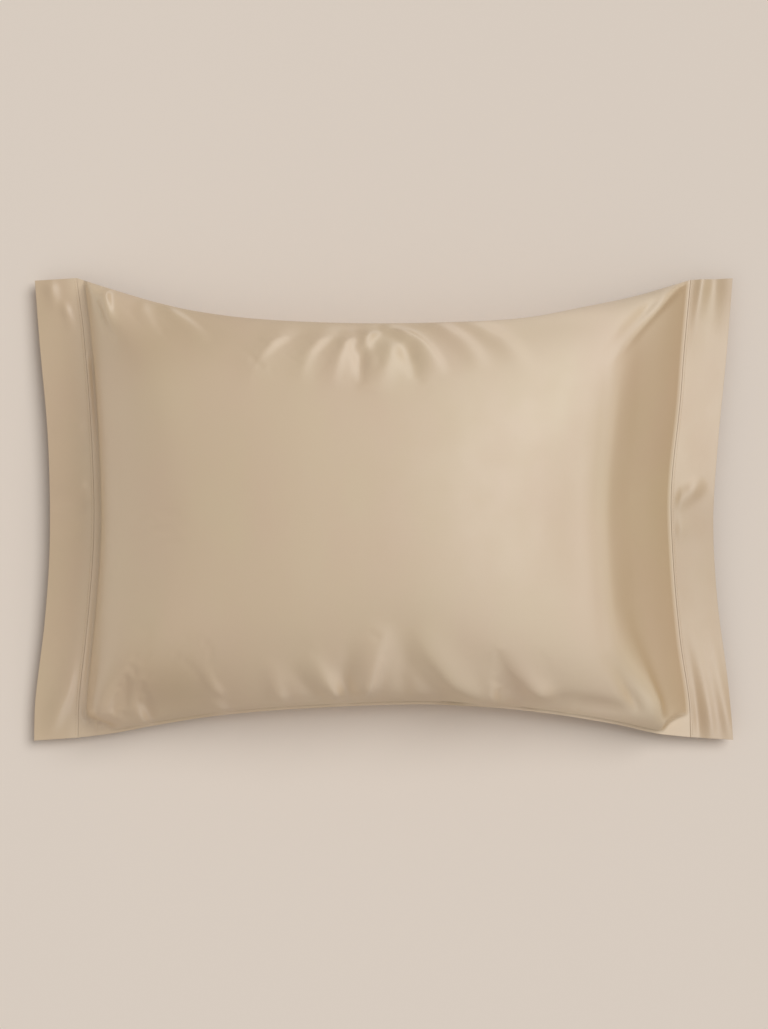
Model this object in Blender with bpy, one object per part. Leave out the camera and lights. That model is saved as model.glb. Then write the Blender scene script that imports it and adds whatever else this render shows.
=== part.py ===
# A filled pillowcase with a plain border along each short side, lying on its
# back. X runs along the case, Y across it and Z up; the origin is under the
# middle of the case, on the surface that it lies on. Sizes are in metres.
import bpy
import bmesh
from math import exp, hypot

MM = 0.001

# The filled part
CROWN_HEIGHT = 0.111          # rise of the front panel above its seams
CROWN_POWER_Y = 2.6           # higher is flatter in the middle
CROWN_ROUND_Y = 0.56          # lower is steeper beside the long seams
HIP_SHARPNESS = 3.0           # higher is a sharper hip where two sides meet at a corner
LEAST_LIFT = 0.0001           # a smaller share of the rise counts as none
SEAM_THICKNESS = 0.003        # both panels and their turnings, pressed together
BACK_CORNER_POWER = 4.0       # higher is squarer corners to the part that lies flat
BACK_FLAT = 0.60              # share of the back panel's reach that lies flat
BACK_ROUND = 2.2              # higher is rounder under the seams

# The borders, two layers of the same cloth
BORDER_THICKNESS = 0.0024
SEAM_GAP = 0.0003             # kept between the filled part and each border

# How finely each surface is divided
BODY_CELLS_X = 62
BODY_CELLS_Y = 44
BORDER_CELLS = 9
EDGE_CROWDING = 0.35          # 0 is even cells, 1 crowds them at the seams

# Seams and outer edges as stations from end to end: the distance along the
# side, the seam's place across it, and its height over the surface.
#             along   across  height
TOP_SEAM = ((-0.3280, 0.2475, 0.019),
            (-0.2860, 0.2340, 0.023),
            (-0.2425, 0.2210, 0.028),
            (-0.1990, 0.2110, 0.034),
            (-0.1360, 0.2025, 0.042),
            (-0.0355, 0.1975, 0.048),
            (0.0690, 0.1985, 0.048),
            (0.1485, 0.2035, 0.043),
            (0.2140, 0.2160, 0.034),
            (0.2685, 0.2280, 0.026),
            (0.3270, 0.2455, 0.020))
BOTTOM_SEAM = ((-0.3265, -0.2430, 0.017),
               (-0.2860, -0.2375, 0.021),
               (-0.2425, -0.2290, 0.026),
               (-0.1780, -0.2185, 0.034),
               (-0.0930, -0.2105, 0.043),
               (0.0335, -0.2055, 0.046),
               (0.1180, -0.2095, 0.042),
               (0.1830, -0.2170, 0.036),
               (0.2465, -0.2280, 0.028),
               (0.2900, -0.2380, 0.022),
               (0.3270, -0.2425, 0.018))
LEFT_SEAM = ((-0.2430, -0.3265, 0.017),
             (-0.2030, -0.3250, 0.022),
             (-0.1165, -0.3150, 0.028),
             (-0.0210, -0.3080, 0.032),
             (0.0745, -0.3105, 0.031),
             (0.1915, -0.3200, 0.024),
             (0.2475, -0.3280, 0.018))
RIGHT_SEAM = ((-0.2425, 0.3270, 0.018),
              (-0.2030, 0.3250, 0.022),
              (-0.1385, 0.3150, 0.028),
              (-0.0525, 0.3070, 0.032),
              (0.0210, 0.3050, 0.033),
              (0.1165, 0.3150, 0.029),
              (0.1705, 0.3195, 0.025),
              (0.2455, 0.3270, 0.019))
LEFT_EDGE = ((-0.2465, -0.3740, 0.014),
             (-0.2030, -0.3725, 0.015),
             (-0.1170, -0.3620, 0.018),
             (-0.0320, -0.3565, 0.020),
             (0.0750, -0.3585, 0.020),
             (0.1815, -0.3680, 0.017),
             (0.2450, -0.3730, 0.015))
RIGHT_EDGE = ((-0.2455, 0.3730, 0.014),
              (-0.1815, 0.3670, 0.016),
              (-0.0960, 0.3555, 0.020),
              (-0.0110, 0.3510, 0.021),
              (0.0750, 0.3565, 0.020),
              (0.1600, 0.3650, 0.018),
              (0.2475, 0.3725, 0.015))

# Crown along the case, gentle over the filling and steep at the two ends
#               share   lift
CROWN_ALONG = ((0.0, 0.0),
               (0.012, 0.27),
               (0.045, 0.59),
               (0.11, 0.84),
               (0.175, 0.93),
               (0.26, 0.98),
               (0.36, 1.0),
               (0.5, 1.0),
               (0.585, 0.99),
               (0.665, 0.965),
               (0.75, 0.91),
               (0.83, 0.81),
               (0.857, 0.755),
               (0.88, 0.68),
               (0.925, 0.44),
               (0.965, 0.21),
               (1.0, 0.0))

# Folds in the front panel, in millimetres: where the fold starts, at the seam,
# and ends, how far its line bows to the left of the way it runs, its half
# width, and its height, which is negative in a trough.
#               x0    y0    x1    y1   bow  width  height
FRONT_FOLDS = ((-109, 204, -141, 141, 3, 10, 3.0),
               (-96, 198, -122, 139, 3, 10, -3.0),
               (-33, 195, -46, 130, 3, 10, 4.0),
               (-22, 193, -32, 128, 3, 9, -4.0),
               (-4, 192, -14, 153, -3, 9, 5.0),
               (4, 191, 0, 153, 0, 9, -4.0),
               (-2, 190, 62, 147, 7, 9, 5.5),
               (32, 190, 80, 151, 6, 9, -4.5),
               (59, 193, 97, 143, 6, 9, 4.0),
               (88, 191, 145, 147, 9, 10, 4.5),
               (322, 243, 223, 128, -5, 12, 4.0),
               (-285, 231, -273, 189, 0, 9, -4.5),
               (-260, 223, -244, 189, -2, 9, 4.0),
               (-187, -214, -181, -170, -2, 10, 4.0),
               (-42, -200, -92, -149, -3, 11, 5.0),
               (-29, -202, -22, -132, 4, 10, -4.5),
               (-17, -202, 4, -126, 4, 10, 4.5),
               (126, -206, 48, -137, -3, 11, 5.5),
               (129, -204, 115, -162, -3, 9, 4.0),
               (141, -204, 124, -162, -4, 9, -3.5),
               (284, -221, 225, -139, -6, 12, 4.0),
               (262, -210, 226, -166, -4, 12, -3.0),
               (-309, -217, -269, -151, -4, 10, 3.5))
LEFT_BORDER_FOLDS = ((-307, 27, -357, 21, 0, 9, 1.6),
                     (-307, 7, -357, 3, 0, 9, -1.6),
                     (-315, -147, -355, -227, -4, 11, 2.5))
RIGHT_BORDER_FOLDS = ((335, 243, 328, 172, -7, 8, 2.6),
                      (347, 36, 303, 0, 0, 10, -3.0),
                      (305, -9, 336, -22, 0, 10, -2.0),
                      (320, -130, 338, -240, 3, 8, 2.8),
                      (338, -132, 355, -240, 2, 8, 2.6))

# Where the filling stops short of a corner and the case lies flat, in
# millimetres: the corner, and how far the flat part reaches along X and Y.
#                 x     y     reach_x  reach_y
FLAT_CORNERS = ((-327, -243, 30, 16),
                (327, -242, 28, 18))

# How a fold narrows and widens along its run, as shares of its half width, and
# the factor that makes it reach its full height
NARROW_END = 0.7
WIDE_END = 1.4
FOLD_FULLNESS = 2.6

# Finish
CASE_COLOUR = (0.62, 0.48, 0.33, 1.0)
CASE_ROUGHNESS = 0.35


def clear_scene():
    for thing in list(bpy.data.objects):
        bpy.data.objects.remove(thing, do_unlink=True)


def satin(name):
    material = bpy.data.materials.new(name)
    material.use_nodes = True
    shader = material.node_tree.nodes["Principled BSDF"]
    shader.inputs["Base Color"].default_value = CASE_COLOUR
    shader.inputs["Roughness"].default_value = CASE_ROUGHNESS
    shader.inputs["Metallic"].default_value = 0.0
    return material


def slopes(table, column):
    # Slope at each station, from the stations on either side of it
    result = []
    for row in range(len(table)):
        before = table[max(row - 1, 0)]
        after = table[min(row + 1, len(table) - 1)]
        result.append((after[column] - before[column]) / (after[0] - before[0]))
    return result


def along(table, share):
    # Row of a table at a share of its first column's span, on a smooth curve
    # through the other columns
    start = table[0][0]
    end = table[-1][0]
    distance = start + share * (end - start)
    row = 0
    while row < len(table) - 2 and distance > table[row + 1][0]:
        row += 1
    low = table[row]
    high = table[row + 1]
    span = high[0] - low[0]
    t = (distance - low[0]) / span
    values = [distance]
    for column in range(1, len(low)):
        slope = slopes(table, column)
        values.append((2 * t ** 3 - 3 * t ** 2 + 1) * low[column]
                      + (t ** 3 - 2 * t ** 2 + t) * span * slope[row]
                      + (3 * t ** 2 - 2 * t ** 3) * high[column]
                      + (t ** 3 - t ** 2) * span * slope[row + 1])
    return values


def along_end(table, share):
    y, x, z = along(table, share)
    return x, y, z


def smooth_step(low, high, value):
    t = min(1.0, max(0.0, (value - low) / (high - low)))
    return t * t * (3 - 2 * t)


def fold_relief(folds, x, y):
    # Sum of soft ridges and troughs. Each is fullest a third of the way along
    # and fades and widens towards its far end.
    total = 0.0
    for x0, y0, x1, y1, bow, width, height in folds:
        run_x = (x1 - x0) * MM
        run_y = (y1 - y0) * MM
        length = hypot(run_x, run_y)
        from_x = x - x0 * MM
        from_y = y - y0 * MM
        t = (from_x * run_x + from_y * run_y) / length ** 2
        if t <= 0.0 or t >= 1.0:
            continue
        side = (run_x * from_y - run_y * from_x) / length
        half_width = width * MM * (NARROW_END + (WIDE_END - NARROW_END) * t)
        offset = (side - 4 * bow * MM * t * (1 - t)) / half_width
        total += height * MM * FOLD_FULLNESS * t ** 0.5 * (1 - t) * exp(-offset * offset)
    return total


def seam_point(u, v):
    # Point of the sheet stretched between the four seams, u and v from 0 to 1
    left = along_end(LEFT_SEAM, v)
    right = along_end(RIGHT_SEAM, v)
    low = along(BOTTOM_SEAM, u)
    high = along(TOP_SEAM, u)
    low_left = along(BOTTOM_SEAM, 0.0)
    low_right = along(BOTTOM_SEAM, 1.0)
    high_left = along(TOP_SEAM, 0.0)
    high_right = along(TOP_SEAM, 1.0)
    point = []
    for axis in range(3):
        sides = (1 - u) * left[axis] + u * right[axis]
        ends = (1 - v) * low[axis] + v * high[axis]
        corners = ((1 - u) * (1 - v) * low_left[axis] + u * (1 - v) * low_right[axis]
                   + (1 - u) * v * high_left[axis] + u * v * high_right[axis])
        point.append(sides + ends - corners)
    return point


def fullness(u, v, x, y):
    # How far the filling lifts the front panel, 0 at the seams and 1 in the middle.
    # The rise from the short seams and the one from the long seams meet in a hip.
    lift_x = min(1.0, along(CROWN_ALONG, u)[1])
    lift_y = (1 - abs(2 * v - 1) ** CROWN_POWER_Y) ** CROWN_ROUND_Y
    if min(lift_x, lift_y) < LEAST_LIFT:
        return 0.0
    lift = (lift_x ** -HIP_SHARPNESS + lift_y ** -HIP_SHARPNESS - 1) ** (-1 / HIP_SHARPNESS)
    for corner_x, corner_y, reach_x, reach_y in FLAT_CORNERS:
        away = hypot((x - corner_x * MM) / (reach_x * MM), (y - corner_y * MM) / (reach_y * MM))
        lift *= smooth_step(0.7, 1.3, away)
    return lift


def front_panel(u, v):
    x, y, seam_z = seam_point(u, v)
    lift = fullness(u, v, x, y)
    folds = fold_relief(FRONT_FOLDS, x, y) * smooth_step(0.0, 0.25, lift)
    return x, y, seam_z + SEAM_THICKNESS / 2 + CROWN_HEIGHT * lift + folds


def back_panel(u, v):
    x, y, seam_z = seam_point(u, v)
    reach = (abs(2 * u - 1) ** BACK_CORNER_POWER
             + abs(2 * v - 1) ** BACK_CORNER_POWER) ** (1 / BACK_CORNER_POWER)
    rise = min(1.0, max(0.0, (reach - BACK_FLAT) / (1 - BACK_FLAT)))
    return x, y, (seam_z - SEAM_THICKNESS / 2) * rise ** BACK_ROUND


def border_point(seam, edge, folds, t, v):
    # t runs from 0 at the seam to 1 at the outer edge
    x0, y0, z0 = along_end(seam, v)
    x1, y1, z1 = along_end(edge, v)
    outwards = 1 if x1 > x0 else -1
    x0 += outwards * SEAM_GAP
    x = x0 + (x1 - x0) * t
    y = y0 + (y1 - y0) * t
    z = z0 + (z1 - z0) * t
    fade = smooth_step(0.0, 0.3, t)
    return x, y, z + fade * fold_relief(folds, x, y)


def crowded(share):
    # Moves evenly spaced shares towards both ends
    centred = 2 * share - 1
    eased = centred * (1 + EDGE_CROWDING * (1 - centred * centred) / 2)
    return (eased + 1) / 2


def slab(name, cells_x, cells_y, upper, lower, collection):
    # A flat grid made two-sided, then laid over an upper and a lower surface
    mesh = bpy.data.meshes.new(name)
    bm = bmesh.new()
    bmesh.ops.create_grid(bm, x_segments=cells_x, y_segments=cells_y, size=1.0)
    bottom = set(bm.verts)
    bmesh.ops.extrude_face_region(bm, geom=bm.faces[:])
    for vert in bm.verts:
        u = (vert.co.x + 1) / 2
        v = (vert.co.y + 1) / 2
        surface = lower if vert in bottom else upper
        vert.co = surface(u, v)
    bmesh.ops.recalc_face_normals(bm, faces=bm.faces[:])
    bm.to_mesh(mesh)
    bm.free()
    mesh.shade_smooth()
    piece = bpy.data.objects.new(name, mesh)
    collection.objects.link(piece)
    return piece


def filled_body(collection):
    body = slab("case_body", BODY_CELLS_X, BODY_CELLS_Y,
                lambda u, v: front_panel(crowded(u), crowded(v)),
                lambda u, v: back_panel(crowded(u), crowded(v)),
                collection)
    body.data.materials.append(satin("body_satin"))


def border(name, seam, edge, folds, outwards, collection):
    def upper(u, v):
        t = u if outwards > 0 else 1 - u
        x, y, z = border_point(seam, edge, folds, t, crowded(v))
        return x, y, z + BORDER_THICKNESS / 2

    def lower(u, v):
        x, y, z = upper(u, v)
        return x, y, z - BORDER_THICKNESS

    sheet = slab(name, BORDER_CELLS, BODY_CELLS_Y, upper, lower, collection)
    sheet.data.materials.append(satin(name + "_satin"))


def main():
    clear_scene()
    case = bpy.data.collections.new("pillowcase")
    bpy.context.scene.collection.children.link(case)
    filled_body(case)
    border("left_border", LEFT_SEAM, LEFT_EDGE, LEFT_BORDER_FOLDS, -1, case)
    border("right_border", RIGHT_SEAM, RIGHT_EDGE, RIGHT_BORDER_FOLDS, 1, case)


main()
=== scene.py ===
from math import radians

import bpy
import numpy as np
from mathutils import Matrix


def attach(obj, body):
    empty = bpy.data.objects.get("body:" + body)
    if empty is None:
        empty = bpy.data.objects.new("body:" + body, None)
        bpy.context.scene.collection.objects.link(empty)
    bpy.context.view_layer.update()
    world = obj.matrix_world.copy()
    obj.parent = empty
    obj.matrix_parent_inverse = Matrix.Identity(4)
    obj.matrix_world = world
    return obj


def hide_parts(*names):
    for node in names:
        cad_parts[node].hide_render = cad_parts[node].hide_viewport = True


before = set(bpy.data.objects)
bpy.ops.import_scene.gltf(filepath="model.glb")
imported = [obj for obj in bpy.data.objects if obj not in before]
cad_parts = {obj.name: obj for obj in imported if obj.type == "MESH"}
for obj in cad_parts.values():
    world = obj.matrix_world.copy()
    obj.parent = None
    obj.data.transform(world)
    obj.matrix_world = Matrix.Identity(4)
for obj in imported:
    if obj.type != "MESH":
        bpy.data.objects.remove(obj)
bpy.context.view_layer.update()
print("frame loaded")

mm = 0.001
# The least share, length in metres and area in square metres that count
least = {"share": 1e-6, "length": 1e-9, "area": 1e-12}


def stations(table, shares):
    # Smooth curve through a table's rows, read at shares of its first column's span.
    # Gives that column and each of the others.
    table = np.array(table)
    along = table[0, 0] + shares * (table[-1, 0] - table[0, 0])
    row = np.clip(np.searchsorted(table[:, 0], along, side="right") - 1, 0, len(table) - 2)
    before = np.maximum(np.arange(len(table)) - 1, 0)
    after = np.minimum(np.arange(len(table)) + 1, len(table) - 1)
    span = table[row + 1, 0] - table[row, 0]
    t = (along - table[row, 0]) / span
    found = [along]
    for column in range(1, table.shape[1]):
        slope = ((table[after, column] - table[before, column])
                 / (table[after, 0] - table[before, 0]))
        found.append((2 * t ** 3 - 3 * t ** 2 + 1) * table[row, column]
                     + (t ** 3 - 2 * t ** 2 + t) * span * slope[row]
                     + (3 * t ** 2 - 2 * t ** 3) * table[row + 1, column]
                     + (t ** 3 - t ** 2) * span * slope[row + 1])
    return found


def smoothStep(low, high, value):
    t = np.clip((value - low) / (high - low), 0.0, 1.0)
    return t * t * (3 - 2 * t)


# How every fold rises from its start and fades to its end, and the straight pieces that stand in
# for its curve
foldShape = {"pieces": 12, "rise": 0.4, "fade": 1.1, "fullest": 0.60, "reach": 3.0}


def foldRelief(folds, x, y):
    # Sum of soft ridges and troughs at points x, y, in metres. Each is fullest near its
    # start, then fades and widens along a curve through its middle to its end.
    total = np.zeros_like(x)
    t = np.linspace(0, 1, foldShape["pieces"] + 1)
    for x0, y0, x1, y1, x2, y2, width, spread, height, lean in folds:
        bendX, bendY = 2 * x1 - (x0 + x2) / 2, 2 * y1 - (y0 + y2) / 2
        lineX = ((1 - t) ** 2 * x0 + 2 * t * (1 - t) * bendX + t * t * x2) * mm
        lineY = ((1 - t) ** 2 * y0 + 2 * t * (1 - t) * bendY + t * t * y2) * mm
        margin = foldShape["reach"] * width * spread * mm
        near = np.flatnonzero((x > lineX.min() - margin) & (x < lineX.max() + margin)
                              & (y > lineY.min() - margin) & (y < lineY.max() + margin))
        away = np.full(len(near), np.inf)
        place = np.zeros(len(near))
        side = np.zeros(len(near))
        for k in range(foldShape["pieces"]):
            runX, runY = lineX[k + 1] - lineX[k], lineY[k + 1] - lineY[k]
            fromX, fromY = x[near] - lineX[k], y[near] - lineY[k]
            share = np.clip((fromX * runX + fromY * runY) / (runX ** 2 + runY ** 2), 0.0, 1.0)
            gap = np.hypot(fromX - share * runX, fromY - share * runY)
            closer = gap < away
            away[closer] = gap[closer]
            place[closer] = (k + share[closer]) / foldShape["pieces"]
            side[closer] = np.sign(runX * fromY - runY * fromX)[closer]
        halfWidth = width * mm * (1 + (spread - 1) * place) * (1 + lean * side)
        full = smoothStep(0.0, foldShape["rise"], place) * (1 - place) ** foldShape["fade"]
        total[near] += height * mm * full / foldShape["fullest"] * np.exp(-(away / halfWidth) ** 2)
    return total


def crowded(shares, amount):
    # Moves evenly spaced shares towards both ends
    centred = 2 * shares - 1
    return (centred * (1 + amount * (1 - centred * centred) / 2) + 1) / 2


def gridFaces(columns, rows, first=0, flipped=False):
    faces = []
    for j in range(rows):
        for i in range(columns):
            a = first + j * (columns + 1) + i
            quad = (a, a + 1, a + columns + 2, a + columns + 1)
            faces.append(quad[::-1] if flipped else quad)
    return faces


def rimFaces(columns, rows, flipped=False):
    # Walls between two grids of the same size, the second numbered after the first
    row = columns + 1
    count = row * (rows + 1)
    rim = ([i for i in range(columns)]
           + [j * row + columns for j in range(rows)]
           + [rows * row + i for i in range(columns, 0, -1)]
           + [j * row for j in range(rows, 0, -1)])
    faces = []
    for k, a in enumerate(rim):
        b = rim[(k + 1) % len(rim)]
        wall = (a, a + count, b + count, b)
        faces.append(wall[::-1] if flipped else wall)
    return faces


def meshObject(name, points, faces, cutPlaces=None):
    mesh = bpy.data.meshes.new(name)
    mesh.from_pydata([tuple(p) for p in points], [], faces)
    if cutPlaces is not None:
        layer = mesh.uv_layers.new(name="cloth")
        corners = np.empty(len(mesh.loops), dtype=int)
        mesh.loops.foreach_get("vertex_index", corners)
        layer.data.foreach_set("uv", np.asarray(cutPlaces)[corners].ravel())
    mesh.shade_smooth()
    piece = bpy.data.objects.new(name, mesh)
    bpy.context.scene.collection.objects.link(piece)
    return piece


# Seams and edges from end to end: distance along, place across, height, in metres
topSeam = ((-0.3280, 0.2475, 0.019), (-0.2860, 0.2340, 0.023), (-0.2425, 0.2210, 0.028),
           (-0.1990, 0.2110, 0.034), (-0.1360, 0.2025, 0.042), (-0.0355, 0.1975, 0.048),
           (0.0690, 0.1985, 0.048), (0.1485, 0.2035, 0.043), (0.2140, 0.2160, 0.034),
           (0.2685, 0.2280, 0.026), (0.3270, 0.2455, 0.020))
bottomSeam = ((-0.3265, -0.2430, 0.017), (-0.2860, -0.2375, 0.021), (-0.2425, -0.2290, 0.026),
              (-0.1780, -0.2185, 0.034), (-0.0930, -0.2105, 0.043), (0.0335, -0.2055, 0.046),
              (0.1180, -0.2095, 0.042), (0.1830, -0.2170, 0.036), (0.2465, -0.2280, 0.028),
              (0.2900, -0.2380, 0.022), (0.3270, -0.2425, 0.018))
leftSeam = ((-0.2430, -0.3265, 0.017), (-0.2030, -0.3250, 0.022), (-0.1165, -0.3150, 0.028),
            (-0.0210, -0.3080, 0.032), (0.0745, -0.3105, 0.031), (0.1915, -0.3200, 0.024),
            (0.2475, -0.3280, 0.018))
rightSeam = ((-0.2425, 0.3270, 0.018), (-0.2030, 0.3250, 0.022), (-0.1385, 0.3150, 0.028),
             (-0.0525, 0.3070, 0.032), (0.0210, 0.3050, 0.033), (0.1165, 0.3150, 0.029),
             (0.1705, 0.3195, 0.025), (0.2455, 0.3270, 0.019))
leftEdge = ((-0.2465, -0.3740, 0.014), (-0.2030, -0.3725, 0.015), (-0.1170, -0.3620, 0.018),
            (-0.0320, -0.3565, 0.020), (0.0750, -0.3585, 0.020), (0.1815, -0.3680, 0.017),
            (0.2450, -0.3730, 0.015))
rightEdge = ((-0.2455, 0.3730, 0.014), (-0.1815, 0.3670, 0.016), (-0.0960, 0.3555, 0.020),
             (-0.0110, 0.3510, 0.021), (0.0750, 0.3565, 0.020), (0.1600, 0.3650, 0.018),
             (0.2475, 0.3725, 0.015))

body = {
    "crownHeight": 0.111, "crownPowerY": 2.6, "crownRoundY": 0.56, "hipSharpness": 3.0,
    "leftLip": 0.013, "rightLip": 0.0035, "bottomLip": 0.009,
    "foldStart": 0.005, "foldLean": 0.04, "rimShare": 0.0005,
    "leastLift": 0.0001, "seamThickness": 0.003,
    "backFlat": 0.60, "backRound": 2.2, "backCornerPower": 4.0, "cornerEdge": 0.9,
    "cellsX": 252, "cellsY": 172, "edgeCrowding": 0.35,
    "clothWidth": 0.65, "clothLength": 0.50,
    "fill": 0.8,
}

# Share of the way from the left seam to the right one, and share of the full crown
crownAlong = ((0.0, 0.0), (0.012, 0.27), (0.045, 0.59), (0.11, 0.84), (0.175, 0.93), (0.26, 0.98),
              (0.36, 1.0), (0.5, 1.0), (0.585, 0.99), (0.665, 0.965), (0.75, 0.91), (0.83, 0.815),
              (0.857, 0.77), (0.885, 0.69), (0.925, 0.44), (0.965, 0.21), (1.0, 0.0))

# Folds: start, middle and end in millimetres, half width, how many times wider the end is,
# height, and how much more of the width lies on the left of the run. Their places are read from
# the photograph. Their widths and heights are guesses that suit its light from above, so
# the ones at the middle of the top edge look pinched from behind.
frontFolds = (
    (-86, 187, -124, 164, -141, 118, 7.5, 1.6, 4.2, -0.35),
    (-41, 187, -75, 166, -87, 124, 7.5, 1.6, 4.5, -0.3),
    (-25, 184, -44, 162, -54, 120, 7, 1.6, 5.5, -0.3),
    (0, 189, -19, 174, -9, 145, 7, 1.3, 6.5, -0.3),
    (-21, 172, -25, 149, -29, 116, 7, 1.3, -4.5, 0),
    (16, 178, 2, 151, -13, 111, 10, 1.5, 5.0, -0.1), (19, 179, 29, 151, 36, 114, 8, 1.3, -3.5, 0),
    (-6, 192, 34, 177, 61, 137, 5.5, 1.7, 8.0, -0.35),
    (36, 199, 79, 179, 103, 141, 6.5, 1.6, 5.0, -0.2),
    (69, 197, 119, 180, 151, 139, 7, 1.7, 5.5, -0.2), (1, 190, -25, 189, -61, 188, 4, 1, -3.5, 0),
    (1, 190, 22, 191, 48, 193, 4, 1, -3.0, 0), (322, 242, 280, 204, 227, 143, 5, 1.6, 4.5, -0.3),
    (298, 228, 263, 198, 227, 156, 4.5, 1.6, -4.0, 0),
    (-294, 234, -291, 217, -281, 183, 4.5, 1.3, 8.0, -0.3),
    (-259, 222, -250, 206, -235, 179, 6, 1.2, 2.0, -0.2),
    (-240, 218, -212, 202, -181, 177, 4.5, 1.4, 5.5, -0.4),
    (-313, 168, -305, 116, -298, -53, 7, 1.3, -3.0, 0),
    (-320, -225, -311, -170, -298, 42, 6.5, 1.3, -4.0, 0),
    (-160, -224, -174, -208, -189, -187, 7.5, 1.3, 7.0, 0.2),
    (-162, -202, -178, -181, -185, -160, 5, 1.4, 3.5, 0.2),
    (-103, -208, -111, -187, -116, -151, 7.5, 1.4, 5.5, 0.1),
    (-53, -205, -80, -185, -99, -156, 7, 1.3, -5.0, 0),
    (-34, -206, -56, -181, -82, -139, 8, 1.5, 9.5, 0.2),
    (-38, -204, -41, -179, -32, -130, 7.5, 1.3, -6.0, 0),
    (-27, -206, -13, -168, 0, -111, 9, 1.5, 10.5, 0.2),
    (23, -204, 20, -166, 19, -111, 9, 1.4, -4.0, 0),
    (92, -206, 46, -185, 19, -139, 7, 1.3, -5.0, 0),
    (156, -214, 85, -190, 30, -116, 8, 1.8, 12.5, -0.3),
    (124, -200, 111, -189, 114, -162, 5, 1.2, 3.0, 0.2),
    (164, -213, 137, -195, 114, -162, 7, 1.3, -4.5, 0),
    (183, -202, 153, -183, 122, -153, 8, 1.5, 8.0, -0.2),
    (1, -201, -57, -198, -128, -202, 3.5, 1, -3.5, 0),
    (17, -200, 59, -198, 132, -204, 3.5, 1, -3.5, 0),
    (273, -217, 208, -204, 149, -198, 8, 1.1, -6.0, 0),
    (201, -218, 199, -209, 197, -195, 5, 1.2, 3.0, 0.2),
    (296, -227, 276, -183, 242, -101, 8, 1.7, 8.0, 0.3),
    (271, -221, 254, -185, 229, -147, 6, 1.6, -5.5, 0),
    (-309, -229, -301, -229, -292, -230, 5, 1, 4.5, 0),
    (-244, -236, -256, -221, -269, -200, 7.5, 1.3, 7.0, 0.2),
    (-242, -228, -249, -214, -253, -198, 5, 1.3, -4.0, 0),
    (-307, -223, -294, -187, -252, -120, 11, 1.6, 6.5, 0),
)
leftBorderFolds = (
    (-358, 248, -354, 229, -350, 208, 6.5, 1.2, 2.6, 0),
    (-344, 225, -337, 207, -330, 187, 4.5, 1.3, 2.0, 0),
    (-308, 91, -332, 89, -355, 85, 7, 1.3, 1.4, 0), (-307, 27, -330, 25, -355, 20, 7, 1.3, 2.2, 0),
    (-306, 7, -330, 5, -355, 2, 7, 1.3, -2.2, 0),
    (-308, -21, -330, -22, -355, -26, 8, 1.3, -1.5, 0),
    (-362, -246, -338, -193, -313, -130, 9, 1.4, 4.5, 0.2),
)
rightBorderFolds = (
    (343, 262, 336, 226, 322, 169, 6.5, 1.4, 3.2, 0),
    (356, 265, 352, 226, 348, 179, 9, 1.2, -3.4, 0), (344, 33, 320, 15, 294, -5, 8.5, 1.2, 4.2, 0),
    (299, -26, 322, -21, 354, -36, 11, 1.3, 1.8, 0),
    (351, -256, 343, -196, 323, -109, 8, 1.1, 4.2, 0),
    (372, -254, 360, -196, 341, -109, 8, 1.1, 4.4, 0),
    (338, -256, 331, -203, 320, -139, 7, 1.1, -2.4, 0),
)
# Corners of the filled part that stay flat: place and reach in millimetres, squareness, and the
# share of the reach over which the crown comes in
flatCorners = ((-327, -243, 36, 22, 3, 0.6), (327, -242, 32, 24, 2.2, 0.25))


def seamSheet(u, v):
    # Sheet stretched between the four seams
    bottom = stations(bottomSeam, u)
    top = stations(topSeam, u)
    leftY, leftX, leftZ = stations(leftSeam, v)
    rightY, rightX, rightZ = stations(rightSeam, v)
    left = (leftX, leftY, leftZ)
    right = (rightX, rightY, rightZ)
    ends = [stations(table, np.array([share]))
            for table in (bottomSeam, topSeam) for share in (0.0, 1.0)]
    point = []
    for axis in range(3):
        corner = [end[axis][0] for end in ends]
        corners = ((1 - u) * (1 - v) * corner[0] + u * (1 - v) * corner[1]
                   + (1 - u) * v * corner[2] + u * v * corner[3])
        point.append((1 - u) * left[axis] + u * right[axis]
                     + (1 - v) * bottom[axis] + v * top[axis] - corners)
    return point


def fullness(u, v, x, y):
    # Share of the crown: it starts inside a flat lip and meets in a hip at each corner
    inU = np.clip((u - body["leftLip"]) / (1 - body["leftLip"] - body["rightLip"]), 0.0, 1.0)
    inV = np.clip((v - body["bottomLip"]) / (1 - body["bottomLip"]), 0.0, 1.0)
    liftX = np.clip(stations(crownAlong, inU)[1], body["leastLift"], 1.0)
    liftY = (1 - np.abs(2 * inV - 1) ** body["crownPowerY"]) ** body["crownRoundY"]
    liftY = np.clip(liftY, body["leastLift"], 1.0)
    sharpness = body["hipSharpness"]
    lift = (liftX ** -sharpness + liftY ** -sharpness - 1) ** (-1 / sharpness)
    for cornerX, cornerY, reachX, reachY, squareness, comeIn in flatCorners:
        away = (np.abs((x - cornerX * mm) / (reachX * mm)) ** squareness
                + np.abs((y - cornerY * mm) / (reachY * mm)) ** squareness) ** (1 / squareness)
        lift = lift * smoothStep(body["cornerEdge"], body["cornerEdge"] + comeIn, away)
    return lift


def sharesOf(cells, crowding, edge):
    # Shares of a side from end to end, with a narrow first and last cell that rounds the rim
    shares = crowded(np.linspace(0, 1, cells + 1), crowding)
    shares[1] = edge
    shares[-2] = 1 - edge
    return shares


def panels(sharesX, sharesY):
    # Front and back of the filled part, as grids of points, and the grid's shares
    u, v = [grid.ravel() for grid in np.meshgrid(sharesX, sharesY)]
    x, y, seamZ = seamSheet(u, v)
    lift = fullness(u, v, x, y)
    half = body["seamThickness"] / 2
    front = seamZ + half + body["crownHeight"] * lift
    power = body["backCornerPower"]
    reach = (np.abs(2 * u - 1) ** power + np.abs(2 * v - 1) ** power) ** (1 / power)
    rise = np.clip((reach - body["backFlat"]) / (1 - body["backFlat"]), 0.0, 1.0)
    back = (seamZ - half) * rise ** body["backRound"]
    return np.stack([x, y, front], 1), np.stack([x, y, back], 1), u, v


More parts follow.
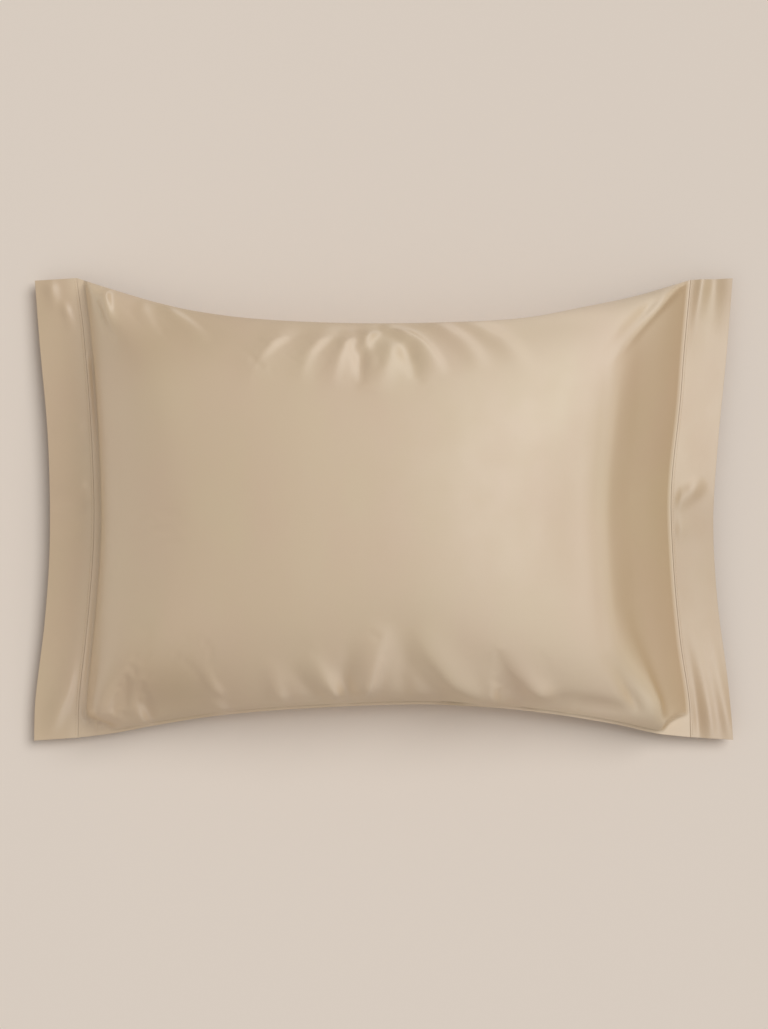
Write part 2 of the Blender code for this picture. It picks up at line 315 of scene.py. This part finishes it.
def fromSeams(u, v):
    return np.minimum(np.minimum(u, 1 - u) * body["clothWidth"],
                      np.minimum(v, 1 - v) * body["clothLength"])


def frontRelief(front, u, v):
    # Folds of the front panel, faded out at its seams
    relief = foldRelief(frontFolds, front[:, 0], front[:, 1])
    return relief * smoothStep(0.0, body["foldStart"], fromSeams(u, v))


# How the filled cloth settles between its seams
settling = {
    "pressure": 4.0, "frames": 20, "quality": 6, "bending": 0.4, "stiffness": 12.0,
    "slack": 0.05, "slackReach": 0.07, "cap": 0.007,
    "topFrom": -0.15, "topTo": 0.16, "bottomFrom": -0.13, "bottomTo": 0.17,
    "calmFrom": 0.14, "calmTo": 0.20, "soften": 0.03, "leastSlack": 0.01,
    "lipFrom": 0.005, "lipTo": 0.025,
}


def slackOf(x, v):
    # Where the cloth is gathered into the two long seams
    depth = settling["slackReach"] / body["clothLength"]
    soften = settling["soften"]
    top = (smoothStep(settling["topFrom"] - soften, settling["topFrom"] + soften, x)
           * (1 - smoothStep(settling["topTo"] - soften, settling["topTo"] + soften, x))
           * smoothStep(1 - 2 * depth, 1 - depth / 2, v))
    bottom = (smoothStep(settling["bottomFrom"] - soften, settling["bottomFrom"] + soften, x)
              * (1 - smoothStep(settling["bottomTo"] - soften, settling["bottomTo"] + soften, x))
              * (1 - smoothStep(depth / 2, 2 * depth, v)))
    return top + bottom


def settled(sharesX, sharesY):
    # How far each point of the front moves when the cloth swells and buckles, as a grid
    front, back, u, v = panels(sharesX, sharesY)
    count = len(front)
    cellsX, cellsY = len(sharesX) - 1, len(sharesY) - 1
    faces = (gridFaces(cellsX, cellsY) + gridFaces(cellsX, cellsY, count, True)
             + rimFaces(cellsX, cellsY))
    start = front.copy()
    start[:, 2] += frontRelief(front, u, v)
    trial = meshObject("settlingCase", np.concatenate([start, back]), faces)
    held = trial.vertex_groups.new(name="held")
    edge = least["share"]
    rim = (u < edge) | (u > 1 - edge) | (v < edge) | (v > 1 - edge)
    held.add([int(k) for k in np.flatnonzero(rim)] + list(range(count, 2 * count)), 1.0, "REPLACE")
    gathered = trial.vertex_groups.new(name="gathered")
    slack = slackOf(front[:, 0], v)
    for k in np.flatnonzero(slack > settling["leastSlack"]):
        gathered.add([int(k)], float(slack[k]), "REPLACE")
    cloth = trial.modifiers.new("settling", "CLOTH")
    rules = cloth.settings
    rules.quality = settling["quality"]
    rules.vertex_group_mass = "held"
    rules.vertex_group_shrink = "gathered"
    rules.shrink_min = 0.0
    rules.shrink_max = -settling["slack"]
    rules.tension_stiffness = rules.compression_stiffness = settling["stiffness"]
    rules.bending_stiffness = settling["bending"]
    rules.use_pressure = True
    rules.uniform_pressure_force = settling["pressure"]
    # The filling carries the cloth, so its own weight is left out
    rules.effector_weights.gravity = 0.0
    cloth.collision_settings.use_collision = False
    scene = bpy.context.scene
    for step in range(1, settling["frames"] + 1):
        scene.frame_set(step)
    shown = trial.evaluated_get(bpy.context.evaluated_depsgraph_get())
    after = np.empty(len(shown.data.vertices) * 3)
    shown.data.vertices.foreach_get("co", after)
    moved = after.reshape(-1, 3)[:count] - start
    scene.frame_set(1)
    trial.modifiers.clear()
    bpy.data.objects.remove(trial)
    length = np.linalg.norm(moved, axis=1)
    cap = settling["cap"]
    moved *= (cap * np.tanh(length / cap) / np.maximum(length, least["length"]))[:, None]
    moved *= 1 - smoothStep(settling["calmFrom"], settling["calmTo"], front[:, 0])[:, None]
    moved *= smoothStep(settling["lipFrom"], settling["lipTo"], fromSeams(u, v))[:, None]
    print("settled, furthest point moved mm:", round(float(length.max()) / mm, 1))
    return moved.reshape(cellsY + 1, cellsX + 1, 3)


def finer(grid):
    # One subdivision of a grid, each new point on a smooth curve through its neighbours.
    # The two nearest count nine sixteenths each, and the two beyond them less one sixteenth.
    near, total = 9, 16
    for axis in (0, 1):
        grid = np.moveaxis(grid, axis, 0)
        padded = np.concatenate([grid[:1], grid, grid[-1:]])
        between = (near * (padded[1:-2] + padded[2:-1]) - padded[:-3] - padded[3:]) / total
        woven = np.empty((2 * len(grid) - 1,) + grid.shape[1:])
        woven[0::2] = grid
        woven[1::2] = between
        grid = np.moveaxis(woven, 0, axis)
    return grid


def outwardOf(grid):
    # Unit normals of a grid of points
    across = np.cross(np.gradient(grid, axis=1), np.gradient(grid, axis=0))
    return across / np.maximum(np.linalg.norm(across, axis=2, keepdims=True), least["area"])


def filledBody():
    nu, nv = body["cellsX"], body["cellsY"]
    sharesX = sharesOf(nu, body["edgeCrowding"], body["rimShare"])
    sharesY = sharesOf(nv, body["edgeCrowding"], body["rimShare"])
    front, back, u, v = panels(sharesX, sharesY)
    shape = (nv + 1, nu + 1)
    grid = front.reshape(shape + (3,))
    grid = grid + finer(settled(sharesX[::2], sharesY[::2]))
    # Folds stand straight up beside the seams, and square to the cloth further in
    leaning = smoothStep(body["foldStart"], body["foldLean"], fromSeams(u, v))
    leaning = leaning.reshape(shape + (1,))
    push = np.array([0.0, 0.0, 1.0]) * (1 - leaning) + outwardOf(grid) * leaning
    grid = grid + push * frontRelief(front, u, v).reshape(shape + (1,))
    points = np.concatenate([grid.reshape(-1, 3), back])
    faces = gridFaces(nu, nv) + gridFaces(nu, nv, len(front), True) + rimFaces(nu, nv)
    cut = np.stack([u * body["clothWidth"], v * body["clothLength"]], 1)
    return meshObject("filledCase", points, faces, np.concatenate([cut, cut]))


borders = {
    "cellsAcross": 34, "cellsAlong": 240, "crowding": 0.2,
    "width": 0.05, "length": 0.50, "thickness": 0.0024, "gap": 0.0003,
    "rimAcross": 0.006, "rimAlong": 0.0006, "foldStart": 0.25,
}


def borderPlace(seam, edge, folds, outwards, t, v):
    # Points of a border's middle surface, t from its seam to its edge and v along it
    y0, x0, z0 = stations(seam, v)
    y1, x1, z1 = stations(edge, v)
    x0 = x0 + outwards * borders["gap"]
    x = x0 + (x1 - x0) * t
    y = y0 + (y1 - y0) * t
    z = z0 + (z1 - z0) * t + smoothStep(0.0, borders["foldStart"], t) * foldRelief(folds, x, y)
    return x, y, z


def borderSheet(name, seam, edge, folds, outwards):
    nt, nv = borders["cellsAcross"], borders["cellsAlong"]
    t = sharesOf(nt, 0.0, borders["rimAcross"])
    v = sharesOf(nv, borders["crowding"], borders["rimAlong"])
    t, v = [g.ravel() for g in np.meshgrid(t, v)]
    x, y, z = borderPlace(seam, edge, folds, outwards, t, v)
    half = borders["thickness"] / 2
    points = np.concatenate([np.stack([x, y, z + half], 1), np.stack([x, y, z - half], 1)])
    flipped = outwards < 0
    faces = (gridFaces(nt, nv, 0, flipped) + gridFaces(nt, nv, len(x), not flipped)
             + rimFaces(nt, nv, flipped))
    cut = np.stack([t * borders["width"] * outwards, v * borders["length"]], 1)
    return meshObject(name, points, faces, np.concatenate([cut, cut]))


# The gloss is stronger than a real cloth's, set to match the photograph under these lights
satin = {
    # Lit and shaded copies of the satin colour, for painted light and painted shade; the case's
    # plain cloth mixes them at middle and the borders' at borderTone
    "paintedLightColour": (0.797, 0.634, 0.443, 1.0),
    "paintedShadeColour": (0.508, 0.354, 0.200, 1.0),
    "middle": 0.39, "borderTone": 0.56, "seamLightReach": 0.011,
    "paintedShadeFrom": 0.54, "paintedShadeTo": 0.84, "paintedLightFrom": 0.35, "paintedLightTo": 0.85,
    "frontFrom": 0.05, "frontTo": 0.2, "endFrom": 0.10, "endTo": 0.18,
    "anisotropy": 0.8, "glossTurn": 0.25, "specular": 1.0, "ior": 1.86,
    "smoothest": 0.57, "roughest": 0.63, "glossPatch": (30.0, 18.0, 1.0),
    "hueLow": 0.495, "hueHigh": 0.505, "huePatch": (14.0, 6.0, 1.0),
    "slubs": (26.0, 700.0, 1.0), "slubDepth": 0.00015, "slubStrength": 0.35,
    "floats": (700.0, 4200.0, 1.0), "floatDepth": 0.00012, "floatStrength": 0.6,
}
thread = {
    "colour": (0.70, 0.55, 0.38, 1.0), "darkest": 0.90, "lightest": 1.06, "tonePatch": 60.0,
    "twist": 1400.0, "twistDepth": 0.00005, "twistStrength": 0.5, "roughness": 0.55,
}


# Noise behind every patch, and the part of its range that is spread between two values
patchNoise = {"scale": 1.0, "detail": 2.0, "low": 0.3, "high": 0.7}


def addNode(material, kind, **settings):
    node = material.node_tree.nodes.new(kind)
    for key, value in settings.items():
        setattr(node, key, value)
    return node


def joinNodes(material, fromSocket, toSocket):
    material.node_tree.links.new(fromSocket, toSocket)


def patches(material, places, scale):
    # Soft noise over the cloth, stretched to its own scale in each direction
    stretch = addNode(material, "ShaderNodeVectorMath", operation="MULTIPLY")
    stretch.inputs[1].default_value = scale
    joinNodes(material, places, stretch.inputs[0])
    noise = addNode(material, "ShaderNodeTexNoise")
    noise.inputs["Scale"].default_value = patchNoise["scale"]
    noise.inputs["Detail"].default_value = patchNoise["detail"]
    joinNodes(material, stretch.outputs["Vector"], noise.inputs["Vector"])
    return noise.outputs["Fac"]


def ranged(material, value, low, high):
    spread = addNode(material, "ShaderNodeMapRange")
    spread.inputs["From Min"].default_value = patchNoise["low"]
    spread.inputs["From Max"].default_value = patchNoise["high"]
    spread.inputs["To Min"].default_value = low
    spread.inputs["To Max"].default_value = high
    joinNodes(material, value, spread.inputs["Value"])
    return spread.outputs["Result"]


def raised(material, height, strength, depth, below=None):
    bump = addNode(material, "ShaderNodeBump")
    bump.inputs["Strength"].default_value = strength
    bump.inputs["Distance"].default_value = depth
    joinNodes(material, height, bump.inputs["Height"])
    if below is not None:
        joinNodes(material, below, bump.inputs["Normal"])
    return bump.outputs["Normal"]


def satinCloth(name):
    material = bpy.data.materials.new(name)
    material.use_nodes = True
    shader = material.node_tree.nodes["Principled BSDF"]
    cut = addNode(material, "ShaderNodeUVMap", uv_map="cloth").outputs["UV"]
    # Painted shade and light: the depth attribute mixes the lit and shaded copies of the satin
    # colour
    shadeAndLight = addNode(material, "ShaderNodeAttribute", attribute_name="depth")
    blend = addNode(material, "ShaderNodeMix", data_type="RGBA")
    paintedLightSide, paintedShadeSide = [socket for socket in blend.inputs if socket.type == "RGBA"]
    paintedLightSide.default_value = satin["paintedLightColour"]
    paintedShadeSide.default_value = satin["paintedShadeColour"]
    joinNodes(material, shadeAndLight.outputs["Fac"], blend.inputs["Factor"])
    blended = [socket for socket in blend.outputs if socket.type == "RGBA"][0]
    # The hue drifts a little between olive and rose over a hand's width
    drift = addNode(material, "ShaderNodeHueSaturation")
    joinNodes(material, blended, drift.inputs["Color"])
    joinNodes(material, ranged(material, patches(material, cut, satin["huePatch"]),
                               satin["hueLow"], satin["hueHigh"]), drift.inputs["Hue"])
    joinNodes(material, drift.outputs["Color"], shader.inputs["Base Color"])
    joinNodes(material, ranged(material, patches(material, cut, satin["glossPatch"]),
                               satin["smoothest"], satin["roughest"]), shader.inputs["Roughness"])
    shader.inputs["Specular IOR Level"].default_value = satin["specular"]
    shader.inputs["IOR"].default_value = satin["ior"]
    shader.inputs["Anisotropic"].default_value = satin["anisotropy"]
    shader.inputs["Anisotropic Rotation"].default_value = satin["glossTurn"]
    tangent = addNode(material, "ShaderNodeTangent", direction_type="UV_MAP", uv_map="cloth")
    joinNodes(material, tangent.outputs["Tangent"], shader.inputs["Tangent"])
    # Thicker yarns here and there, and the satin's long floats over them
    yarns = raised(material, patches(material, cut, satin["slubs"]),
                   satin["slubStrength"], satin["slubDepth"])
    weave = raised(material, patches(material, cut, satin["floats"]),
                   satin["floatStrength"], satin["floatDepth"], yarns)
    joinNodes(material, weave, shader.inputs["Normal"])
    return material


def threadMaterial(name):
    material = bpy.data.materials.new(name)
    material.use_nodes = True
    shader = material.node_tree.nodes["Principled BSDF"]
    places = addNode(material, "ShaderNodeTexCoord").outputs["Object"]
    drift = addNode(material, "ShaderNodeHueSaturation")
    drift.inputs["Color"].default_value = thread["colour"]
    patch = thread["tonePatch"]
    joinNodes(material, ranged(material, patches(material, places, (patch, patch, patch)),
                               thread["darkest"], thread["lightest"]), drift.inputs["Value"])
    joinNodes(material, drift.outputs["Color"], shader.inputs["Base Color"])
    shader.inputs["Roughness"].default_value = thread["roughness"]
    twist = addNode(material, "ShaderNodeTexWave", bands_direction="DIAGONAL")
    twist.inputs["Scale"].default_value = thread["twist"]
    joinNodes(material, places, twist.inputs["Vector"])
    joinNodes(material, raised(material, twist.outputs["Fac"], thread["twistStrength"],
                               thread["twistDepth"]), shader.inputs["Normal"])
    return material


# Soft patches of painted shade and painted light on the case, darker or lighter: place and reach
# in millimetres, and amount. They are set where the photograph is darker or lighter than the plain
# cloth came out.
caseShadeAndLight = (
    (-226, -186, 62, 42, 0.40), (-225, 180, 70, 40, 0.30), (214, -40, 24, 90, -0.10),
    (248, 30, 20, 130, -0.12), (-313, 0, 9, 130, -0.30), (-319, 175, 9, 65, -0.28),
    (-319, -175, 9, 65, -0.22), (212, -217, 80, 13, -0.38), (105, 194, 40, 14, -0.25),
    (190, 204, 64, 12, -0.28), (40, -196, 60, 12, 0.15),
)


def pointsOf(mesh):
    points = np.empty(len(mesh.vertices) * 3, dtype=np.float32)
    mesh.vertices.foreach_get("co", points)
    return points.reshape(-1, 3)


def paintShadeAndLight(piece):
    # Painted shade and painted light in the satin's colour: darker where it turns away at the
    # right end, lighter where it turns away at the left, with the soft painted patches on top
    mesh = piece.data
    normals = np.empty(len(mesh.vertices) * 3, dtype=np.float32)
    mesh.vertex_normals.foreach_get("vector", normals)
    normals = normals.reshape(-1, 3)
    points = pointsOf(mesh)
    paintedShade = (smoothStep(satin["paintedShadeFrom"], satin["paintedShadeTo"], normals[:, 0])
              * smoothStep(satin["endFrom"], satin["endTo"], points[:, 0]))
    paintedLight = smoothStep(satin["paintedLightFrom"], satin["paintedLightTo"], -normals[:, 0])
    facing = smoothStep(satin["frontFrom"], satin["frontTo"], normals[:, 2])
    depth = satin["middle"] + facing * ((1 - satin["middle"]) * paintedShade - satin["middle"] * paintedLight)
    for middleX, middleY, reachX, reachY, amount in caseShadeAndLight:
        depth += facing * amount * np.exp(-((points[:, 0] - middleX * mm) / (reachX * mm)) ** 2
                                          - ((points[:, 1] - middleY * mm) / (reachY * mm)) ** 2)
    depth = np.clip(depth, 0.0, 1.0)
    layer = mesh.attributes.new("depth", "FLOAT", "POINT")
    layer.data.foreach_set("value", depth.astype(np.float32))


def paintBorderShadeAndLight(piece, seam, shadeAndLightPatches, seamLight):
    # A border's mix of the lit and shaded satin, changed by painted shade and light in soft
    # patches (place and reach along it in millimetres, and amount) and by one more amount of
    # painted light beside its seam
    mesh = piece.data
    x, y = pointsOf(mesh)[:, :2].T
    seamY, seamX = stations(seam, np.linspace(0.0, 1.0, borders["cellsAlong"]))[:2]
    away = np.abs(x - np.interp(y, seamY, seamX))
    depth = satin["borderTone"] + seamLight * np.exp(-(away / satin["seamLightReach"]) ** 2)
    for middle, reach, amount in shadeAndLightPatches:
        depth += amount * np.exp(-((y - middle * mm) / (reach * mm)) ** 2)
    layer = mesh.attributes.new("depth", "FLOAT", "POINT")
    layer.data.foreach_set("value", depth.astype(np.float32))


# Each border's patches of painted shade and light, set as the case's are, and its amount of
# painted light beside the seam
leftBorderShadeAndLight, leftSeamLight = ((-40, 90, 0.04), (225, 30, 0.08)), -0.35
rightBorderShadeAndLight, rightSeamLight = (
    (-2, 26, 0.22), (-50, 50, 0.28), (-120, 50, 0.16), (-215, 40, 0.15), (225, 40, 0.08),
), 0.0

stitching = {
    "pitch": 0.003, "length": 0.0024, "thread": 0.0006, "seed": 4, "wander": 0.06,
    "fromSeam": 0.0025, "ends": 0.008, "guidePoints": 400, "sides": 6, "rings": 4,
    "beadRadius": 0.5,
}


def stitchTree(material):
    # Stitches set along a line, each a little out of true
    tree = bpy.data.node_groups.new("stitchRun", "GeometryNodeTree")
    sizes = ("Stitch pitch", "Stitch length", "Thread thickness", "Wander")
    tree.interface.new_socket("Line", in_out="INPUT", socket_type="NodeSocketGeometry")
    for name in sizes:
        tree.interface.new_socket(name, in_out="INPUT", socket_type="NodeSocketFloat")
    tree.interface.new_socket("Seed", in_out="INPUT", socket_type="NodeSocketInt")
    tree.interface.new_socket("Stitches", in_out="OUTPUT", socket_type="NodeSocketGeometry")
    new, join = tree.nodes.new, tree.links.new
    given, result = new("NodeGroupInput"), new("NodeGroupOutput")
    curve = new("GeometryNodeMeshToCurve")
    join(given.outputs["Line"], curve.inputs["Mesh"])
    spaced = new("GeometryNodeCurveToPoints")
    spaced.mode = "LENGTH"
    join(curve.outputs["Curve"], spaced.inputs["Curve"])
    join(given.outputs["Stitch pitch"], spaced.inputs["Length"])
    # The wander goes as far to the one side as to the other
    backwards = new("ShaderNodeMath")
    backwards.operation = "MULTIPLY"
    backwards.inputs[1].default_value = -1.0
    join(given.outputs["Wander"], backwards.inputs[0])
    astray = new("FunctionNodeRandomValue")
    astray.data_type = "FLOAT_VECTOR"
    join(backwards.outputs[0], astray.inputs["Min"])
    join(given.outputs["Wander"], astray.inputs["Max"])
    join(given.outputs["Seed"], astray.inputs["Seed"])
    heading = new("ShaderNodeVectorMath")
    join(spaced.outputs["Tangent"], heading.inputs[0])
    join(astray.outputs["Value"], heading.inputs[1])
    aligned = new("FunctionNodeAlignRotationToVector")
    aligned.axis = "Z"
    join(heading.outputs["Vector"], aligned.inputs["Vector"])
    size = new("ShaderNodeCombineXYZ")
    for socket in "XY":
        join(given.outputs["Thread thickness"], size.inputs[socket])
    join(given.outputs["Stitch length"], size.inputs["Z"])
    # A bead one unit long, scaled to the stitch
    bead = new("GeometryNodeMeshUVSphere")
    bead.inputs["Segments"].default_value = stitching["sides"]
    bead.inputs["Rings"].default_value = stitching["rings"]
    bead.inputs["Radius"].default_value = stitching["beadRadius"]
    placed = new("GeometryNodeInstanceOnPoints")
    join(spaced.outputs["Points"], placed.inputs["Points"])
    join(bead.outputs["Mesh"], placed.inputs["Instance"])
    join(aligned.outputs["Rotation"], placed.inputs["Rotation"])
    join(size.outputs["Vector"], placed.inputs["Scale"])
    real = new("GeometryNodeRealizeInstances")
    join(placed.outputs["Instances"], real.inputs["Geometry"])
    smooth = new("GeometryNodeSetShadeSmooth")
    join(real.outputs["Geometry"], smooth.inputs["Geometry"])
    clothed = new("GeometryNodeSetMaterial")
    clothed.inputs["Material"].default_value = material
    join(smooth.outputs["Geometry"], clothed.inputs["Geometry"])
    join(clothed.outputs["Geometry"], result.inputs["Stitches"])
    return tree


def stitchRuns(name, tree, seam, edge, folds, outwards):
    # Topstitching beside a border's seam, on its front and on its back
    points, edges = [], []
    v = np.linspace(stitching["ends"], 1 - stitching["ends"], stitching["guidePoints"])
    t = np.full_like(v, stitching["fromSeam"] / borders["width"])
    x, y, z = borderPlace(seam, edge, folds, outwards, t, v)
    for face in (1, -1):
        first = len(points)
        points += list(zip(x, y, z + face * borders["thickness"] / 2))
        edges += [(first + k, first + k + 1) for k in range(len(v) - 1)]
    guide = bpy.data.meshes.new(name + "Line")
    guide.from_pydata([tuple(map(float, p)) for p in points], edges, [])
    line = bpy.data.objects.new(name + "Line", guide)
    bpy.context.scene.collection.objects.link(line)
    run = line.modifiers.new("stitches", "NODES")
    run.node_group = tree
    wanted = {"Stitch pitch": "pitch", "Stitch length": "length", "Thread thickness": "thread",
              "Wander": "wander", "Seed": "seed"}
    for socket in tree.interface.items_tree:
        if socket.name in wanted:
            run[socket.identifier] = stitching[wanted[socket.name]]
    shown = line.evaluated_get(bpy.context.evaluated_depsgraph_get())
    mesh = bpy.data.meshes.new_from_object(shown)
    line.modifiers.clear()
    bpy.data.objects.remove(line)
    mesh.name = name
    stitches = bpy.data.objects.new(name, mesh)
    bpy.context.scene.collection.objects.link(stitches)
    return stitches


cloth = satinCloth("champagneSatin")

filledCase = filledBody()
filledCase.data.materials.append(cloth)
paintShadeAndLight(filledCase)
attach(filledCase, "root")
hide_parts("case_body")
print("filled case made")

runTree = stitchTree(threadMaterial("stitchThread"))
sides = (
    ("left", "left_border", leftSeam, leftEdge, leftBorderFolds,
     leftBorderShadeAndLight, leftSeamLight, -1),
    ("right", "right_border", rightSeam, rightEdge, rightBorderFolds,
     rightBorderShadeAndLight, rightSeamLight, 1),
)
for side, node, seam, edge, folds, shadeAndLightPatches, seamLight, outwards in sides:
    sheet = borderSheet(side + "Border", seam, edge, folds, outwards)
    sheet.data.materials.append(cloth)
    paintBorderShadeAndLight(sheet, seam, shadeAndLightPatches, seamLight)
    stitches = stitchRuns(side + "Stitches", runTree, seam, edge, folds, outwards)
    for piece in (sheet, stitches):
        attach(piece, "root")
    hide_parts(node)
print("borders and stitches made")

studio = {
    "floorColour": (0.80, 0.716, 0.636, 1.0), "floorSize": 60.0,
    "floorRoughness": 1.0, "floorSpecular": 0.0,
    "keyStrength": 1.75, "keyAngle": 42.0, "keyTilt": 35.0, "keyTurn": 38.0,
    "keyColour": (1.0, 1.0, 1.0),
    "lowStrength": 0.45, "lowAngle": 80.0, "lowTilt": 48.0, "lowTurn": 230.0,
    "lowColour": (1.0, 0.86, 0.72),
    "fillStrength": 0.30, "fillColour": (1.0, 1.0, 1.0, 1.0),
}


def floorPlane():
    half = studio["floorSize"] / 2
    corners = [(-half, -half, 0), (half, -half, 0), (half, half, 0), (-half, half, 0)]
    floor = meshObject("floor", corners, [(0, 1, 2, 3)])
    material = bpy.data.materials.new("paleGround")
    material.use_nodes = True
    shader = material.node_tree.nodes["Principled BSDF"]
    shader.inputs["Base Color"].default_value = studio["floorColour"]
    shader.inputs["Roughness"].default_value = studio["floorRoughness"]
    shader.inputs["Specular IOR Level"].default_value = studio["floorSpecular"]
    floor.data.materials.append(material)


def sunLight(name):
    lamp = bpy.data.lights.new(name, "SUN")
    lamp.energy = studio[name + "Strength"]
    lamp.angle = radians(studio[name + "Angle"])
    lamp.color = studio[name + "Colour"]
    sun = bpy.data.objects.new(name, lamp)
    sun.rotation_euler = (0.0, radians(studio[name + "Tilt"]), radians(studio[name + "Turn"]))
    bpy.context.scene.collection.objects.link(sun)


def fillLight():
    world = bpy.data.worlds.new("studio")
    world.use_nodes = True
    background = world.node_tree.nodes["Background"]
    background.inputs["Color"].default_value = studio["fillColour"]
    background.inputs["Strength"].default_value = studio["fillStrength"]
    bpy.context.scene.world = world


# The picture's size and the part's middle in pixels, metres for each pixel at the plane's height
photo = {"width": 768, "height": 1029, "centreX": 384.0, "centreY": 510.0,
         "scale": 0.001067, "plane": 0.02, "lens": 100.0, "sensor": 36.0, "clipEnd": 50.0}


def camera():
    data = bpy.data.cameras.new("photoView")
    data.lens = photo["lens"]
    data.sensor_width = photo["sensor"]
    data.clip_end = photo["clipEnd"]
    view = bpy.data.objects.new("photoView", data)
    fieldHeight = photo["height"] * photo["scale"]
    distance = fieldHeight * photo["lens"] / photo["sensor"]
    x = (photo["width"] / 2 - photo["centreX"]) * photo["scale"]
    y = (photo["centreY"] - photo["height"] / 2) * photo["scale"]
    view.location = (x, y, photo["plane"] + distance)
    bpy.context.scene.collection.objects.link(view)
    bpy.context.scene.camera = view


floorPlane()
sunLight("key")
sunLight("low")
fillLight()
camera()
bpy.context.scene.view_settings.view_transform = "Standard"
print("studio made")
